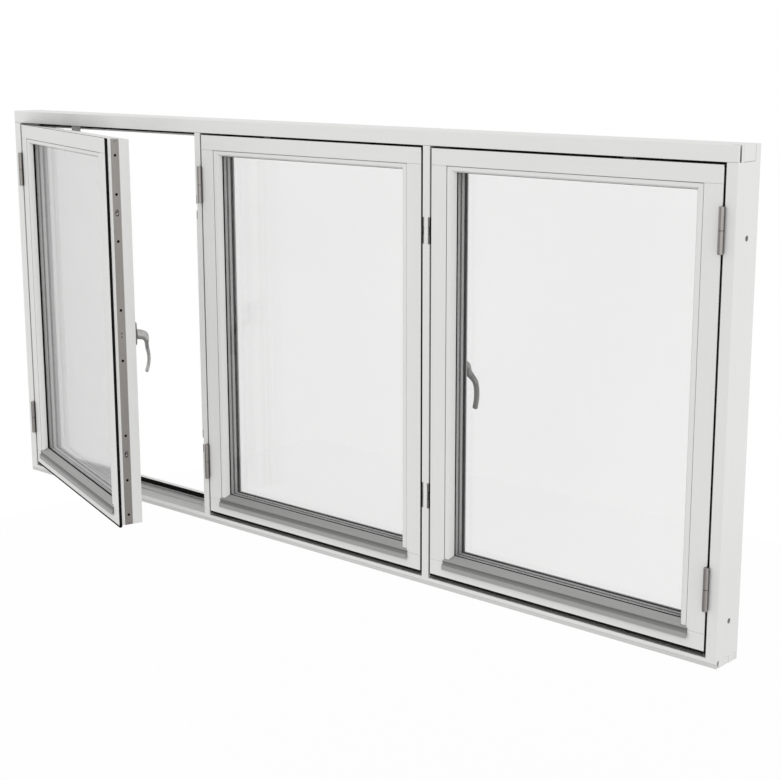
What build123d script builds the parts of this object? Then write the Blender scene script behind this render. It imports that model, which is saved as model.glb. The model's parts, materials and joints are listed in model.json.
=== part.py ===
"""A three-light timber window with side-hung sashes that open outwards.

The frame is comb-jointed: the jambs stand between the full-width front laps of the head and the sill,
and the tenons of both run through to the outer sides. Each sash carries a triple pane behind bevelled
beads, an aluminium bead with a drip nose along its foot, lift-off hinges and a lever handle.
X runs to the right as seen from outside, Y into the building and Z up. The origin is on the
underside of the sill, in the middle of the width and of the frame's depth.
"""
import os

from build123d import *

# Frame
WIDTH = 2380.0
HEIGHT = 1080.0
DEPTH = 85.0
JAMB_FACE = 26.0
MULLION_FACE = 21.0
HEAD_FACE = 34.0
STOP_WIDTH = 14.0
STOP_DEPTH = 14.0
FRONT_LAP = 16.0
FRAME_ARRIS = 1.5
JOINT_EASE = 1.0
END_SLOT = (4.5, 11.5)
END_SLOT_DEPTH = 15.0
HEAD_TENON = (19.0, 66.0)
SILL_TENONS = ((27.5, 50.0), (68.0, 78.0))
SILL_TENON_TOP = 17.0
FIXING_HOLE = 12.0
FIXING_DEPTH = 45.0
FIXING_LOW = 95.0
FIXING_HIGH = 895.0

# Sill
SILL_SET_BACK = 10.0
SILL_NOSE_LOW = 10.5
SILL_NOSE_TOP = 19.0
SILL_LIP = 3.0
SILL_RISE = 3.5
SILL_STEP_AT = 38.0
SILL_STEP = 4.0
SILL_STOP_TOP = 43.0
NOSE_ARRIS = 1.0
DRIP_GROOVE = 3.0
PROFILE_WALL = 2.5

# Sash
GAP = 5.0
SASH_FOOT = 32.0
SASH_DEPTH = 65.0
STILE_FACE = 44.0
RAIL_FACE = 37.5
SIDE_SIGHT = 62.5
TOP_SIGHT = 53.0
FOOT_SIGHT = 54.5
LIP = 9.0
SASH_ARRIS = 1.2
SIGHT_BEVEL = 2.5
LOCK_BEVEL = 3.5
TOP_BEVEL = 4.5
BEVEL_START = 8.0
PANE = 4.0
CAVITY = 12.0
OUTER_SEAL = 3.5
INNER_SEAL = 2.5
PANE_CLEAR = 5.0
SPACER_SIGHT = 1.0
SPACER_WIDTH = 9.0
BEAD_SET_BACK = 1.5
BEAD_FLAT = 9.0
BEAD_QUIRK = 1.2
QUIRK_DEPTH = 3.0
BEAD_GAP = 1.2
BEAD_NOSE = 2.0
EDGE_SEAL_THICK = 3.0
EDGE_SEAL_FRONT = 1.0
EDGE_SEAL_BACK = 7.0
STOP_SEAL_WIDTH = 9.0
SEAL_CLEAR = 1.5
OPEN_ANGLE = 19.7

# Foot bead
BEAD_DRIP_OUT = 6.0
BEAD_DRIP_LOW = 20.0
BEAD_DRIP_TOP = 31.5
BEAD_NOSE_OUT = 2.0
BEAD_NOSE_TOP = 42.0
BEAD_WALL = 1.5
BEAD_COVE = 1.0
BEAD_END_LAP = 3.0

# Lock
FACEPLATE_WIDTH = 22.0
FACEPLATE_AT = 27.0
FACEPLATE_THICK = 2.0
LATCH_HEIGHT = 17.0
LATCH_WIDTH = 9.5
LATCH_DEPTH = 8.0
LATCH_DROP = 2.0
CAM_RADIUS = 3.2
CAM_OUT = 0.8
CAM_HEIGHTS = (223.0, 853.0)
KEEP_HEIGHT = 62.0
KEEP_NOTCH = 5.0
KEEP_THICK = 4.5
KEEP_FRONT = 1.0
KEEP_BACK = 34.0
KEEP_SLOT = 18.0

# Stay
STAY_FROM_HINGE = 221.0
STAY_LENGTH = 24.0
STAY_FRONT = 14.0
STAY_BACK = 26.0
STAY_DROP = 20.0
STAY_SWEEP = 18.0
STAY_ROUND = 3.0

# Hinges
HINGE_LENGTH = 95.0
HINGE_RADIUS = 6.0
HINGE_OUT = 6.3
HINGE_FROM_FOOT = 170.5
HINGE_FROM_TOP = 167.0
HINGE_EASE = 0.8
PIN_RADIUS = 3.5
PIN_LENGTH = 36.0
PIN_CLEAR = 0.05
PIN_END_ROOM = 0.3
HALF_GAP = 1.2
LEAF_THICK = 2.0
LEAF_DEPTH = 30.0

# Handle
HANDLE_AT = 32.0
ROSE_WIDTH = 28.0
ROSE_HEIGHT = 60.0
ROSE_THICK = 9.0
ROSE_CORNER = 5.0
ROSE_ARRIS = 1.5
SPINDLE_RADIUS = 8.0
SPINDLE_SEAT = 5.0
SPINDLE_RUN = 1.5
HANDLE_REACH = 49.0
NECK_TOP = 11.0
NECK_FOOT = 17.0
NECK_DROOP = 9.0
SHOULDER = 10.0
LEVER_LENGTH = 105.0
LEVER_WIDTH = 16.0
LEVER_THICK = 7.0
LEVER_BOW = 5.0
LEVER_ASIDE = 15.0
LEVER_CURL = 1.5
LEVER_ROUND = 5.0

# What follows from the sizes above
OUTSIDE = -DEPTH / 2
SOFFIT = HEIGHT - HEAD_FACE
SASH_TOP = SOFFIT - GAP
SASH_WIDTH = (WIDTH - 2 * JAMB_FACE - 2 * MULLION_FACE - 6 * GAP) / 3
LIGHT_WIDTH = SASH_WIDTH + 2 * GAP
LIGHT_PITCH = LIGHT_WIDTH + MULLION_FACE
LIGHT_LEFT = [-WIDTH / 2 + JAMB_FACE + i * LIGHT_PITCH for i in range(3)]
LIP_AT = SASH_DEPTH - LIP
PANE_BACK = LIP_AT - INNER_SEAL
PANE_FRONT = PANE_BACK - 3 * PANE - 2 * CAVITY
BEAD_DEPTH = PANE_FRONT - OUTER_SEAL
HINGE_HEIGHTS = (HINGE_FROM_FOOT, HEIGHT - HINGE_FROM_TOP)
HANDLE_HEIGHT = (SASH_FOOT + SASH_TOP) / 2


def along_x(profile, x0, x1):
    """A bar along X from its (depth, height) profile; depth counts inwards from the outside face."""
    points = [(x0, OUTSIDE + d, z) for d, z in profile]
    return extrude(make_face(Polyline(*points, close=True)), amount=x1 - x0, dir=(1, 0, 0))


def upright(plan, z0, z1):
    """A post along Z from its (x, depth) plan."""
    points = [(x, OUTSIDE + d, z0) for x, d in plan]
    return extrude(make_face(Polyline(*points, close=True)), amount=z1 - z0, dir=(0, 0, 1))


def block(x0, x1, d0, d1, z0, z1):
    """A square block between two x, two depths and two heights."""
    return upright([(x0, d0), (x1, d0), (x1, d1), (x0, d1)], z0, z1)


def ring(x0, x1, z0, z1, width, d0, d1):
    """A flat rectangular ring with outer bounds x0..x1 and z0..z1, from depth d0 to d1."""
    hole = block(x0 + width, x1 - width, d0, d1, z0 + width, z1 - width)
    return block(x0, x1, d0, d1, z0, z1) - hole


def rod(radius, x, d, z0, z1):
    """A round rod along Z."""
    return Pos(x, OUTSIDE + d, (z0 + z1) / 2) * Cylinder(radius, z1 - z0)


def ease_front(solid, radius):
    """Round all the edges of a solid's front face."""
    return fillet(solid.faces().sort_by(Axis.Y)[0].edges(), radius)


def ease_ends(solid, size):
    """Bevel the edges of both end faces of a bar along X."""
    ends = solid.faces().sort_by(Axis.X)
    return chamfer(ends[0].edges() + ends[-1].edges(), size)


def save(name, *solids):
    """Write one named piece, made of one or more solids."""
    shape = solids[0] if len(solids) == 1 else Compound(children=list(solids))
    export_step(shape, f"parts/{name}.step")


# Frame


def head_tenon():
    """The tenon of the head, through both jambs."""
    return block(-WIDTH / 2, WIDTH / 2, *HEAD_TENON, SOFFIT, HEIGHT)


def sill_tenons():
    """The two tenons of the sill, through both jambs."""
    return [block(-WIDTH / 2, WIDTH / 2, d0, d1, 0, SILL_TENON_TOP) for d0, d1 in SILL_TENONS]


def make_head():
    """The head: a front lap and a tenon over the full width, and the rebated bar between the jambs."""
    left, right = -WIDTH / 2, WIDTH / 2
    stop_at = DEPTH - STOP_DEPTH
    rebate = [(FRONT_LAP, SOFFIT), (FRONT_LAP, HEIGHT), (DEPTH, HEIGHT), (DEPTH, SOFFIT - STOP_WIDTH)]
    rebate += [(stop_at, SOFFIT - STOP_WIDTH), (stop_at, SOFFIT)]
    head = along_x(rebate, left + JAMB_FACE, right - JAMB_FACE)
    head += ease_front(block(left, right, 0, FRONT_LAP, SOFFIT, HEIGHT), FRAME_ARRIS)
    head += ease_ends(head_tenon(), JOINT_EASE)
    for x0 in (left, right - END_SLOT_DEPTH):
        head -= block(x0, x0 + END_SLOT_DEPTH, *END_SLOT, SOFFIT, HEIGHT)
    return head


def sill_top(offset):
    """The sill's stepped weathering from the front lip to the stop, raised by an offset."""
    low = SILL_NOSE_TOP + offset
    high = low + SILL_RISE + SILL_STEP
    stop_at = DEPTH - STOP_DEPTH
    step_end = SILL_STEP_AT + SILL_STEP / 2
    return [(SILL_LIP, low), (SILL_STEP_AT, low + SILL_RISE), (step_end, high), (stop_at, high)]


def make_sill():
    """The sill: a throated nose over the full width, tenons, and the weathered bar between the jambs."""
    left, right = -WIDTH / 2, WIDTH / 2
    stop_at = DEPTH - STOP_DEPTH
    under = [(SILL_SET_BACK, 0), (SILL_SET_BACK, SILL_NOSE_LOW), (SILL_LIP, SILL_NOSE_LOW)]
    stop = [(stop_at, SILL_STOP_TOP), (DEPTH, SILL_STOP_TOP), (DEPTH, 0)]
    sill = along_x(under + sill_top(-PROFILE_WALL) + stop, left + JAMB_FACE, right - JAMB_FACE)
    lap_top = SILL_NOSE_TOP - PROFILE_WALL
    nose = [(0, SILL_NOSE_LOW), (0, SILL_NOSE_TOP), (SILL_LIP, SILL_NOSE_TOP)]
    lap = nose + [(SILL_LIP, lap_top), (FRONT_LAP, lap_top), (FRONT_LAP, 0)] + under[:2]
    sill += ease_front(along_x(lap, left, right), NOSE_ARRIS)
    throat = (SILL_SET_BACK - DRIP_GROOVE) / 2
    sill -= block(left, right, throat, throat + DRIP_GROOVE, SILL_NOSE_LOW, SILL_NOSE_LOW + DRIP_GROOVE)
    for tenon in sill_tenons():
        sill += ease_ends(tenon, JOINT_EASE)
    for x0 in (left, right - END_SLOT_DEPTH):
        sill -= block(x0, x0 + END_SLOT_DEPTH, *END_SLOT, 0, SILL_NOSE_TOP)
    return sill


def make_left_jamb(head, sill):
    """The left jamb: a rebated post, slotted for the tenons and notched behind the front laps."""
    left = -WIDTH / 2
    face = left + JAMB_FACE
    stop_at = DEPTH - STOP_DEPTH
    jamb = block(left, face, FRONT_LAP, DEPTH, 0, HEIGHT)
    front = block(left, face, 0, FRONT_LAP, SILL_NOSE_TOP - PROFILE_WALL, SOFFIT)
    jamb += fillet(front.edges().filter_by(Axis.Z).group_by(Axis.Y)[0], FRAME_ARRIS)
    jamb += block(face, face + STOP_WIDTH, stop_at, DEPTH, SILL_STOP_TOP, SOFFIT - STOP_WIDTH)
    for cut in (head, sill, head_tenon(), *sill_tenons()):
        jamb -= cut
    for z in (FIXING_LOW, FIXING_HIGH):
        hole = Cylinder(FIXING_HOLE / 2, 3 * JAMB_FACE, rotation=(0, 90, 0))
        jamb -= Pos(left, OUTSIDE + FIXING_DEPTH, z) * hole
    return jamb


def make_mullion(x0, head, sill, keeps):
    """A mullion: a post with a stop to both sides, scribed over the sill and notched for its keeps."""
    x1 = x0 + MULLION_FACE
    stop_at = DEPTH - STOP_DEPTH
    post = block(x0, x1, 0, DEPTH, SILL_NOSE_TOP - PROFILE_WALL, SOFFIT)
    post = fillet(post.edges().filter_by(Axis.Z).group_by(Axis.Y)[0], FRAME_ARRIS)
    post += block(x0 - STOP_WIDTH, x1 + STOP_WIDTH, stop_at, DEPTH, SILL_STOP_TOP, SOFFIT - STOP_WIDTH)
    for face, side in keeps:
        for z in CAM_HEIGHTS:
            post -= keep_notch(face, side, z)
    return post - head - sill


def make_sill_profile(x0):
    """The aluminium weathering over the sill of one light."""
    upper = sill_top(0)
    lower = sill_top(-PROFILE_WALL)
    return along_x(upper + lower[::-1], x0, x0 + LIGHT_WIDTH)


def make_stop_seal(x0):
    """The rubber seal on the front of one light's stop."""
    stop_at = DEPTH - STOP_DEPTH
    side = STOP_WIDTH - STOP_SEAL_WIDTH
    x1 = x0 + LIGHT_WIDTH
    z0 = SILL_STOP_TOP - STOP_WIDTH + side
    z1 = SOFFIT - side
    return ring(x0 + side, x1 - side, z0, z1, STOP_SEAL_WIDTH, SASH_DEPTH + SEAL_CLEAR, stop_at)


def keep_notch(x, side, z):
    """The notch for a keep in the front edge of a mullion's face at x; side is the way the face looks."""
    x0, x1 = sorted((x, x - side * KEEP_NOTCH))
    return block(x0, x1, 0, KEEP_BACK, z - KEEP_HEIGHT / 2, z + KEEP_HEIGHT / 2)


def make_keep(x, side, z):
    """A strike plate on the bottom of its notch, slotted from the front for the cam."""
    deep = x - side * KEEP_NOTCH
    x0, x1 = sorted((deep, deep + side * KEEP_THICK))
    plate = block(x0, x1, KEEP_FRONT, KEEP_BACK, z - KEEP_HEIGHT / 2, z + KEEP_HEIGHT / 2)
    slot_end = FACEPLATE_AT + CAM_RADIUS
    return plate - block(x0, x1, KEEP_FRONT, slot_end, z - KEEP_SLOT / 2, z + KEEP_SLOT / 2)


def make_stay_block():
    """The block under the head that stops a sash's stay, with rounded lower corners."""
    x0, x1 = STAY_FROM_HINGE, STAY_FROM_HINGE + STAY_LENGTH
    stay = block(x0, x1, STAY_FRONT, STAY_BACK, SOFFIT - STAY_DROP, SOFFIT)
    return fillet(stay.edges().filter_by(Axis.Y).group_by(Axis.Z)[0], STAY_ROUND)


def hinge_halves(z):
    """The frame's half with its pin, and the sash's half, of a hinge whose edge of the sash is at x = 0."""
    x = -GAP / 2
    foot, top = z - HINGE_LENGTH / 2, z + HINGE_LENGTH / 2
    lower, upper = z - HALF_GAP / 2, z + HALF_GAP / 2
    frame_half = rod(HINGE_RADIUS, x, -HINGE_OUT, foot, lower)
    frame_half = chamfer(frame_half.edges().sort_by(Axis.Z)[0], HINGE_EASE)
    frame_half += block(-GAP, -GAP + LEAF_THICK, -HINGE_OUT, LEAF_DEPTH, foot, lower)
    frame_half += rod(PIN_RADIUS, x, -HINGE_OUT, lower, lower + PIN_LENGTH)
    sash_half = rod(HINGE_RADIUS, x, -HINGE_OUT, upper, top)
    sash_half = chamfer(sash_half.edges().sort_by(Axis.Z)[-1], HINGE_EASE)
    sash_half += block(-LEAF_THICK, 0, -HINGE_OUT, LEAF_DEPTH, upper, top)
    socket_end = lower + PIN_LENGTH + PIN_END_ROOM
    sash_half -= rod(PIN_RADIUS + PIN_CLEAR, x, -HINGE_OUT, upper, socket_end)
    return frame_half, sash_half


# Sash, drawn closed, with its hinged edge at x = 0 and its lock edge at x = SASH_WIDTH


def lock_bevel():
    """The wedge planed off the lock edge so that its back corner swings clear of the mullion."""
    plan = [(SASH_WIDTH, BEVEL_START), (SASH_WIDTH + GAP, BEVEL_START)]
    plan += [(SASH_WIDTH + GAP, SASH_DEPTH), (SASH_WIDTH - LOCK_BEVEL, SASH_DEPTH)]
    return upright(plan, SASH_FOOT - GAP, SASH_TOP + GAP)


def top_bevel():
    """The wedge planed off the top edge, behind the weather seal, so that it clears the head."""
    profile = [(BEVEL_START, SASH_TOP), (BEVEL_START, SASH_TOP + GAP)]
    profile += [(SASH_DEPTH, SASH_TOP + GAP), (SASH_DEPTH, SASH_TOP - TOP_BEVEL)]
    return along_x(profile, -GAP, SASH_WIDTH + GAP)


def bevel_at(depth):
    """How far the lock edge has fallen back at a depth."""
    return LOCK_BEVEL * (depth - BEVEL_START) / (SASH_DEPTH - BEVEL_START)


def make_edge_seal():
    """The weather seal let into the edge of the sash all round, close behind its face."""
    return ring(0, SASH_WIDTH, SASH_FOOT, SASH_TOP, EDGE_SEAL_THICK, EDGE_SEAL_FRONT, EDGE_SEAL_BACK)


def latch_opening(z, x0, x1):
    """The rounded opening for a cam at a height, from x0 to x1 across the lock edge."""
    across = Plane(origin=(x0, OUTSIDE + FACEPLATE_AT, z), x_dir=(0, 0, 1), z_dir=(1, 0, 0))
    return extrude(across * SlotOverall(LATCH_HEIGHT, LATCH_WIDTH), amount=x1 - x0, dir=(1, 0, 0))


def make_faceplate():
    """The steel plate let into the bevelled lock edge, its two locking cams, and the bed cut for them."""
    d0 = FACEPLATE_AT - FACEPLATE_WIDTH / 2
    d1 = FACEPLATE_AT + FACEPLATE_WIDTH / 2
    x0, x1 = SASH_WIDTH - bevel_at(d0), SASH_WIDTH - bevel_at(d1)
    plan = [(x0, d0), (x1, d1), (x1 - FACEPLATE_THICK, d1), (x0 - FACEPLATE_THICK, d0)]
    plate = upright(plan, SASH_FOOT, SASH_TOP) - top_bevel()
    bed = plate
    x = SASH_WIDTH - bevel_at(FACEPLATE_AT)
    cams = []
    for z in CAM_HEIGHTS:
        opening = latch_opening(z, x - LATCH_DEPTH, SASH_WIDTH + GAP)
        plate -= opening
        bed += opening
        cam = Cylinder(CAM_RADIUS, LATCH_DEPTH + CAM_OUT, rotation=(0, 90, 0))
        cams.append(Pos(x + (CAM_OUT - LATCH_DEPTH) / 2, OUTSIDE + FACEPLATE_AT, z - LATCH_DROP) * cam)
    return [plate, *cams], bed


def stay_pocket():
    """The room in the top rail that the block of the stay sweeps through as the sash swings."""
    x0, x1 = STAY_FROM_HINGE - STAY_SWEEP, STAY_FROM_HINGE + STAY_LENGTH + GAP
    return block(x0, x1, STAY_FRONT - GAP, SASH_DEPTH, SOFFIT - STAY_DROP - GAP, SASH_TOP)


def sight_bevel():
    """The mitred bevel round the inner edge of the sight opening."""
    inside = Plane(origin=(0, OUTSIDE + SASH_DEPTH, 0), x_dir=(1, 0, 0), z_dir=(0, -1, 0))
    low, high = SASH_FOOT + FOOT_SIGHT, SASH_TOP - TOP_SIGHT
    faces = []
    for plane, spread in ((inside, SIGHT_BEVEL), (inside.offset(SIGHT_BEVEL), 0)):
        size = (SASH_WIDTH - 2 * SIDE_SIGHT + 2 * spread, high - low + 2 * spread)
        faces.append(plane * Pos(SASH_WIDTH / 2, (low + high) / 2) * Rectangle(*size))
    return loft(faces)


def make_rails_and_stiles(seal, faceplate_bed):
    """The top rail, the foot rail and the two stiles between them, each with its glazing lip."""
    lip0, lip1 = SIDE_SIGHT, SASH_WIDTH - SIDE_SIGHT
    top_low, foot_top = SASH_TOP - RAIL_FACE, SASH_FOOT + RAIL_FACE
    top_rail = ease_front(block(0, SASH_WIDTH, 0, SASH_DEPTH, top_low, SASH_TOP), SASH_ARRIS)
    top_rail += block(lip0, lip1, LIP_AT, SASH_DEPTH, SASH_TOP - TOP_SIGHT, top_low)
    top_rail -= stay_pocket()
    foot_rail = ease_front(block(0, SASH_WIDTH, 0, SASH_DEPTH, SASH_FOOT, foot_top), SASH_ARRIS)
    foot_rail += block(lip0, lip1, LIP_AT, SASH_DEPTH, foot_top, SASH_FOOT + FOOT_SIGHT)
    stiles = []
    for edge, way in ((0, 1), (SASH_WIDTH, -1)):
        inner, sight = edge + way * STILE_FACE, edge + way * SIDE_SIGHT
        plan = [(edge, 0), (inner, 0), (inner, LIP_AT), (sight, LIP_AT), (sight, SASH_DEPTH)]
        stile = upright(plan + [(edge, SASH_DEPTH)], foot_top, top_low)
        stiles.append(ease_front(stile, SASH_ARRIS))
    cuts = [seal, lock_bevel(), top_bevel(), faceplate_bed, sight_bevel()]
    pieces = []
    for piece in (top_rail, foot_rail, *stiles):
        for cut in cuts:
            piece = piece - cut
        pieces.append(piece)
    return pieces


def make_foot_bead():
    """The aluminium bead under the pane: a sloped top, a cove and a drip nose in front of the rail."""
    x0, x1 = STILE_FACE - BEAD_END_LAP, SASH_WIDTH - STILE_FACE + BEAD_END_LAP

    def at(depth, height):
        return (x0, OUTSIDE + depth, SASH_FOOT + height)

    nose, drip, cove_top = -BEAD_NOSE_OUT, -BEAD_DRIP_OUT, BEAD_NOSE_TOP - BEAD_WALL
    slope = Polyline(
        at(0, RAIL_FACE),
        at(BEAD_DEPTH, RAIL_FACE),
        at(BEAD_DEPTH, FOOT_SIGHT),
        at(nose, BEAD_NOSE_TOP),
        at(nose, cove_top),
    )
    cove = ThreePointArc(at(nose, cove_top), at(-BEAD_COVE, RAIL_FACE), at(drip, BEAD_DRIP_TOP))
    foot = Polyline(
        at(drip, BEAD_DRIP_TOP),
        at(drip, BEAD_DRIP_LOW),
        at(drip + BEAD_WALL, BEAD_DRIP_LOW),
        at(drip + BEAD_WALL, BEAD_DRIP_TOP - 2 * BEAD_WALL),
        at(0, BEAD_DRIP_TOP - BEAD_WALL),
        at(0, RAIL_FACE),
    )
    profile = make_face([*slope.edges(), cove, *foot.edges()])
    bead = extrude(profile, amount=x1 - x0, dir=(1, 0, 0))
    for end0, end1 in ((x0, STILE_FACE), (SASH_WIDTH - STILE_FACE, x1)):
        bead -= block(end0, end1, 0, BEAD_DEPTH, SASH_FOOT, SASH_FOOT + FOOT_SIGHT)
    return bead


def make_beads(foot_bead):
    """The timber beads at the top and sides in one mitred piece, bevelled towards the pane.

    A quirk parts them from the rail and the stiles, and a thin gap from the foot bead."""
    x0, x1 = STILE_FACE, SASH_WIDTH - STILE_FACE
    z0, z1 = SASH_FOOT + RAIL_FACE, SASH_TOP - RAIL_FACE
    body = block(x0, x1, BEAD_SET_BACK, BEAD_DEPTH, z0, z1)
    low = z0 - 2 * RAIL_FACE
    flare = BEAD_FLAT
    front = Plane(origin=(0, OUTSIDE + BEAD_SET_BACK, 0), x_dir=(1, 0, 0), z_dir=(0, -1, 0))
    nose = front.offset(BEAD_SET_BACK - BEAD_DEPTH + BEAD_NOSE)
    sight = (SIDE_SIGHT, SASH_WIDTH - SIDE_SIGHT, SASH_TOP - TOP_SIGHT)
    mouth = (x0 + flare, x1 - flare, z1 - flare)
    faces = []
    for plane, (left, right, top) in ((front, mouth), (nose, sight)):
        centre = ((left + right) / 2, (low + top) / 2)
        faces.append(plane * Pos(*centre) * Rectangle(right - left, top - low))
    bevel = loft(faces)
    hole = block(sight[0], sight[1], 0, BEAD_DEPTH, low, sight[2])
    groove = block(x0, x1, BEAD_SET_BACK, BEAD_SET_BACK + QUIRK_DEPTH, low, z1)
    inner = (x0 + BEAD_QUIRK, x1 - BEAD_QUIRK)
    groove -= block(*inner, BEAD_SET_BACK, BEAD_SET_BACK + QUIRK_DEPTH, low, z1 - BEAD_QUIRK)
    return body - bevel - hole - groove - foot_bead - Pos(0, 0, BEAD_GAP) * foot_bead


def make_pane_set():
    """The three panes, the two spacer frames and the two glazing seals of the insulating unit."""
    margin = STILE_FACE + PANE_CLEAR
    x0, x1 = margin, SASH_WIDTH - margin
    z0, z1 = SASH_FOOT + RAIL_FACE + PANE_CLEAR, SASH_TOP - RAIL_FACE - PANE_CLEAR
    panes, spacers = [], []
    for i in range(3):
        d = PANE_FRONT + i * (PANE + CAVITY)
        panes.append(block(x0, x1, d, d + PANE, z0, z1))
    sight = (SIDE_SIGHT, SASH_WIDTH - SIDE_SIGHT, SASH_FOOT + FOOT_SIGHT, SASH_TOP - TOP_SIGHT)
    inner = SPACER_SIGHT
    for i in range(2):
        d = PANE_FRONT + PANE + i * (PANE + CAVITY)
        hole = block(sight[0] - inner, sight[1] + inner, d, d + CAVITY, sight[2] - inner, sight[3] + inner)
        w = inner + SPACER_WIDTH
        frame = block(sight[0] - w, sight[1] + w, d, d + CAVITY, sight[2] - w, sight[3] + w)
        spacers.append(frame - hole)
    seals = []
    for d0, d1 in ((BEAD_DEPTH, PANE_FRONT), (PANE_BACK, LIP_AT)):
        w = SPACER_WIDTH
        frame = block(sight[0] - w, sight[1] + w, d0, d1, sight[2] - w, sight[3] + w)
        seals.append(frame - block(sight[0], sight[1], d0, d1, sight[2], sight[3]))
    return panes, spacers, seals


def make_rose():
    """The rounded rose on the inside of the lock stile, bored for the handle's spindle."""
    x, y = SASH_WIDTH - HANDLE_AT, OUTSIDE + SASH_DEPTH
    rose = Box(ROSE_WIDTH, ROSE_THICK, ROSE_HEIGHT)
    rose = fillet(rose.edges().filter_by(Axis.Y), ROSE_CORNER)
    rose = chamfer(rose.faces().sort_by(Axis.Y)[-1].edges(), ROSE_ARRIS)
    rose = Pos(x, y + ROSE_THICK / 2, HANDLE_HEIGHT) * rose
    bore = Cylinder(SPINDLE_RADIUS + PIN_CLEAR, SPINDLE_SEAT, rotation=(90, 0, 0))
    return rose - Pos(x, y + ROSE_THICK - SPINDLE_SEAT / 2, HANDLE_HEIGHT) * bore


def make_handle():
    """The lever: a spindle in the rose, a drooping neck, a round shoulder and a bowed grip.

    The grip hangs down, cranked away from the lock edge."""
    x, y = SASH_WIDTH - HANDLE_AT, OUTSIDE + SASH_DEPTH + ROSE_THICK
    outer = HANDLE_REACH - ROSE_THICK
    inner = outer - LEVER_THICK
    shoulder_top = NECK_TOP - NECK_DROOP
    shoulder_foot = shoulder_top - SHOULDER
    bend = SHOULDER * (1 - 0.5**0.5)
    crotch = -NECK_FOOT - LEVER_THICK / 2
    half, tip = -LEVER_LENGTH / 2, -LEVER_LENGTH
    neck = Polyline((SPINDLE_RUN, -NECK_FOOT), (SPINDLE_RUN, NECK_TOP), (outer - SHOULDER, shoulder_top))
    shoulder = ThreePointArc(
        (outer - SHOULDER, shoulder_top), (outer - bend, shoulder_top - bend), (outer, shoulder_foot)
    )
    back = ThreePointArc((outer, shoulder_foot), (outer + LEVER_BOW, half), (outer - LEVER_CURL, tip))
    end = ThreePointArc(
        (outer - LEVER_CURL, tip),
        ((outer + inner) / 2 - LEVER_CURL, tip - LEVER_THICK / 4),
        (inner - LEVER_CURL, tip + LEVER_THICK / 3),
    )
    front = ThreePointArc((inner - LEVER_CURL, tip + LEVER_THICK / 3), (inner + LEVER_BOW, half), (inner, crotch))
    under = Line((inner, crotch), (SPINDLE_RUN, -NECK_FOOT))
    profile = make_face([*neck.edges(), shoulder, back, end, front, under])
    x0 = x - LEVER_WIDTH / 2 - LEVER_ASIDE
    side = Plane(origin=(x0, y, HANDLE_HEIGHT), x_dir=(0, 1, 0), z_dir=(1, 0, 0))
    lever = extrude(side * profile, amount=LEVER_WIDTH + LEVER_ASIDE, dir=(1, 0, 0))
    lowest = tip - LEVER_THICK / 2
    facing = Plane(origin=(x, y, HANDLE_HEIGHT), x_dir=(1, 0, 0), z_dir=(0, -1, 0))
    wide, aside = LEVER_WIDTH / 2, -LEVER_ASIDE
    outline = Polyline(
        (-wide, NECK_TOP),
        (wide, NECK_TOP),
        (wide, -NECK_FOOT),
        (aside + wide, half),
        (aside + wide, lowest),
        (aside - wide, lowest),
        (aside - wide, half),
        (-wide, -NECK_FOOT),
        close=True,
    )
    outline = make_face(outline)
    outline = fillet(outline.vertices(), LEVER_ROUND)
    lever &= extrude(facing * outline, amount=2 * HANDLE_REACH, dir=(0, 1, 0))
    length = SPINDLE_SEAT + SPINDLE_RUN + SHOULDER
    spindle = Cylinder(SPINDLE_RADIUS, length, rotation=(90, 0, 0))
    return lever + Pos(x, y - SPINDLE_SEAT + length / 2, HANDLE_HEIGHT) * spindle


# Assembly

os.makedirs("parts", exist_ok=True)
head = make_head()
sill = make_sill()
left_jamb = make_left_jamb(head, sill)
right_jamb = mirror(left_jamb, about=Plane.YZ)
keep_faces = [
    [(LIGHT_LEFT[0] + LIGHT_WIDTH, -1)],
    [(LIGHT_LEFT[1] + LIGHT_WIDTH, -1), (LIGHT_LEFT[2], 1)],
]
mullions = [make_mullion(LIGHT_LEFT[i] + LIGHT_WIDTH, head, sill, keep_faces[i]) for i in range(2)]
save("head", head)
save("sill", sill)
save("left_jamb", left_jamb)
save("right_jamb", right_jamb)
save("left_mullion", mullions[0])
save("right_mullion", mullions[1])
save("sill_profiles", *[make_sill_profile(x) for x in LIGHT_LEFT])
save("stop_seals", *[make_stop_seal(x) for x in LIGHT_LEFT])

save("keeps", *[make_keep(x, side, z) for faces in keep_faces for x, side in faces for z in CAM_HEIGHTS])

edge_seal = make_edge_seal()
faceplate, faceplate_bed = make_faceplate()
top_rail, foot_rail, hinge_stile, lock_stile = make_rails_and_stiles(edge_seal, faceplate_bed)
foot_bead = make_foot_bead()
panes, spacers, glazing_seals = make_pane_set()
hinges = [hinge_halves(z) for z in HINGE_HEIGHTS]

sash_pieces = {
    "top_rail": [top_rail],
    "foot_rail": [foot_rail],
    "hinge_stile": [hinge_stile],
    "lock_stile": [lock_stile],
    "foot_bead": [foot_bead],
    "glazing_beads": [make_beads(foot_bead)],
    "panes": panes,
    "spacers": spacers,
    "seals": [edge_seal, *glazing_seals],
    "faceplate": faceplate,
    "sash_hinges": [half for _, half in hinges],
    "handle_rose": [make_rose()],
    "handle": [make_handle()],
}
frame_hinges = [half for half, _ in hinges]


def hang(solid, light):
    """Move a solid drawn at the left-hand reference into one of the three lights."""
    if light == "right":
        solid = mirror(solid, about=Plane.YZ)
        return Pos(LIGHT_LEFT[2] + LIGHT_WIDTH - GAP, 0, 0) * solid
    return Pos(LIGHT_LEFT[0 if light == "left" else 1] + GAP, 0, 0) * solid


def swing(solid):
    """Turn a solid of the left sash about its hinge pins to its open angle."""
    pin = Axis((LIGHT_LEFT[0] + GAP / 2, OUTSIDE - HINGE_OUT, 0), (0, 0, 1))
    return solid.rotate(pin, -OPEN_ANGLE)


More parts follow.
